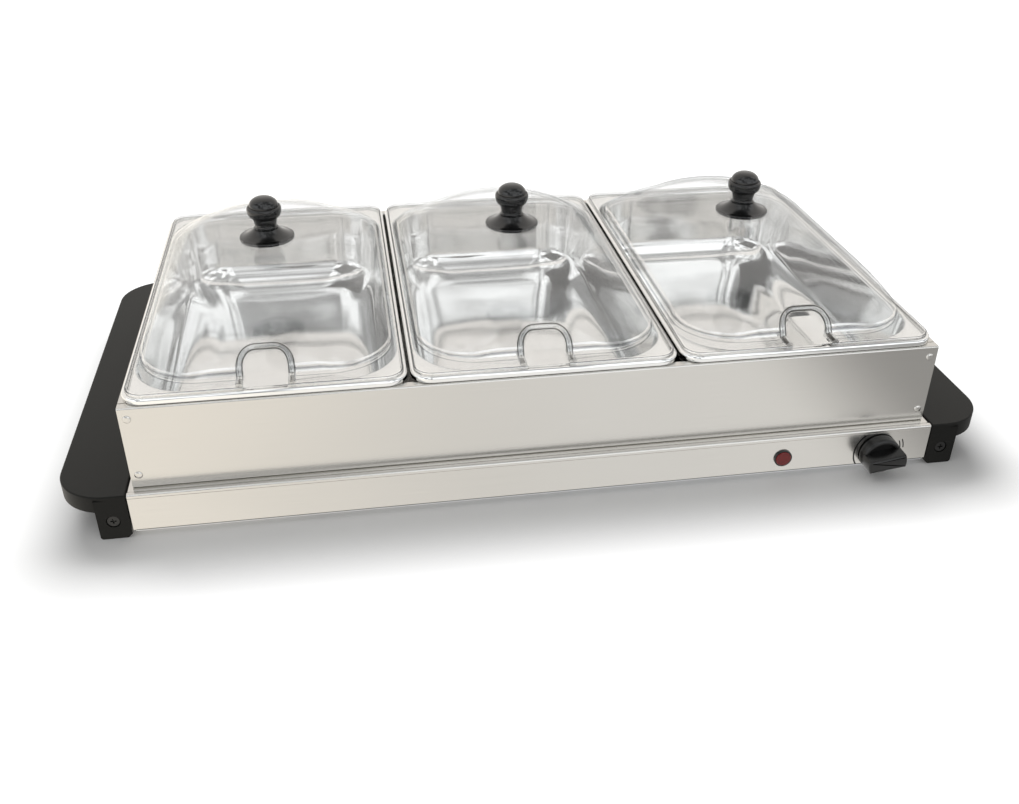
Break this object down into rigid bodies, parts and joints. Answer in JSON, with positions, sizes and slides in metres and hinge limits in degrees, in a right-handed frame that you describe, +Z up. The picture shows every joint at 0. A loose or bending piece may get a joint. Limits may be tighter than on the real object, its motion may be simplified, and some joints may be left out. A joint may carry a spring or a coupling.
{
  "type": "electric buffet food warmer",
  "caption": "Electric buffet warmer: a heated stainless tray with end handles, a lift-off serving frame, lift-out pans and clear domed lids with a spoon notch.",
  "frame": {"origin": "on the table, under the middle of the whole object's plan, control knob and cord inlet included", "axes": "+X along the row of pans to the user's right, +Y to the back, +Z up"},
  "size_m": [0.644, 0.3522, 0.1674],
  "materials": {
    "brushed_stainless": "satin, fine horizontal brush",
    "polished_stainless": "polished",
    "zinc_steel": "zinc plated",
    "aluminium_sheet": "mill",
    "handle_plastic": "fine satin texture",
    "knob_plastic": "gloss",
    "dial_plastic": "satin",
    "clear_plastic": "clear, polished",
    "red_lens": "clear red",
    "ribbon_mica": "matte",
    "glass_fibre": "woven blanket",
    "brass": "bright",
    "terminal_nylon": "satin",
    "fuse_sleeve": "matte",
    "black_rubber": "matte",
    "silicone": "matte",
    "wire_brown": "satin",
    "wire_blue": "satin",
    "wire_green": "satin",
    "wire_red": "satin"
  },
  "bodies": {
    "base": {"warming_plate": "brushed_stainless", "bottom_plate": "zinc_steel", "bottom_plate_screws": "zinc_steel", "left_end_bracket": "zinc_steel", "right_end_bracket": "zinc_steel", "left_handle": "handle_plastic", "right_handle": "handle_plastic", "handle_screws": "dial_plastic", "heat_spreader": "aluminium_sheet", "heating_element": "ribbon_mica", "element_terminals": "brass", "insulation_blanket": "glass_fibre", "heat_shield": "zinc_steel", "shield_studs": "zinc_steel", "thermostat_body": "terminal_nylon", "thermostat_terminals": "brass", "thermostat_bracket": "zinc_steel", "thermostat_nut": "brass", "pilot_lamp_body": "dial_plastic", "pilot_lens": "red_lens", "cord_gland": "black_rubber", "terminal_block": "terminal_nylon", "terminal_screws": "brass", "thermal_fuse": "fuse_sleeve", "earth_screw": "brass", "wire_live": "wire_brown", "wire_switched": "wire_brown", "wire_neutral": "wire_blue", "wire_lamp": "wire_red", "wire_earth": "wire_green"},
    "serving_frame": {"frame_front_panel": "brushed_stainless", "frame_rear_panel": "brushed_stainless", "frame_left_panel": "brushed_stainless", "frame_right_panel": "brushed_stainless", "frame_rivets": "polished_stainless"},
    "thermostat_control": {"thermostat_shaft": "brass", "control_knob": "dial_plastic"},
    "left_pan": {"left_pan": "polished_stainless"},
    "left_lid": {"left_lid_cover": "clear_plastic", "left_lid_skirt": "knob_plastic", "left_lid_knob": "knob_plastic", "left_lid_screw": "zinc_steel", "left_lid_washer": "silicone"},
    "middle_pan": {"middle_pan": "polished_stainless"},
    "middle_lid": {"middle_lid_cover": "clear_plastic", "middle_lid_skirt": "knob_plastic", "middle_lid_knob": "knob_plastic", "middle_lid_screw": "zinc_steel", "middle_lid_washer": "silicone"},
    "right_pan": {"right_pan": "polished_stainless"},
    "right_lid": {"right_lid_cover": "clear_plastic", "right_lid_skirt": "knob_plastic", "right_lid_knob": "knob_plastic", "right_lid_screw": "zinc_steel", "right_lid_washer": "silicone"}
  },
  "joints": [
    {"name": "frame_lift", "type": "slide", "parent": "base", "child": "serving_frame", "axis": [0, 0, 1], "range_m": [0, 0.12]},
    {"name": "heat_control", "type": "hinge", "parent": "base", "child": "thermostat_control", "pos_m": [0.238, -0.1579, 0.015], "axis": [0, 1, 0], "range_deg": [-23, 213]},
    {"name": "left_pan_lift", "type": "slide", "parent": "serving_frame", "child": "left_pan", "axis": [0, 0, 1], "range_m": [0, 0.1]},
    {"name": "left_lid_lift", "type": "slide", "parent": "left_pan", "child": "left_lid", "axis": [0, 0, 1], "range_m": [0, 0.08]},
    {"name": "middle_pan_lift", "type": "slide", "parent": "serving_frame", "child": "middle_pan", "axis": [0, 0, 1], "range_m": [0, 0.1]},
    {"name": "middle_lid_lift", "type": "slide", "parent": "middle_pan", "child": "middle_lid", "axis": [0, 0, 1], "range_m": [0, 0.08]},
    {"name": "right_pan_lift", "type": "slide", "parent": "serving_frame", "child": "right_pan", "axis": [0, 0, 1], "range_m": [0, 0.1]},
    {"name": "right_lid_lift", "type": "slide", "parent": "right_pan", "child": "right_lid", "axis": [0, 0, 1], "range_m": [0, 0.08]}
  ]
}
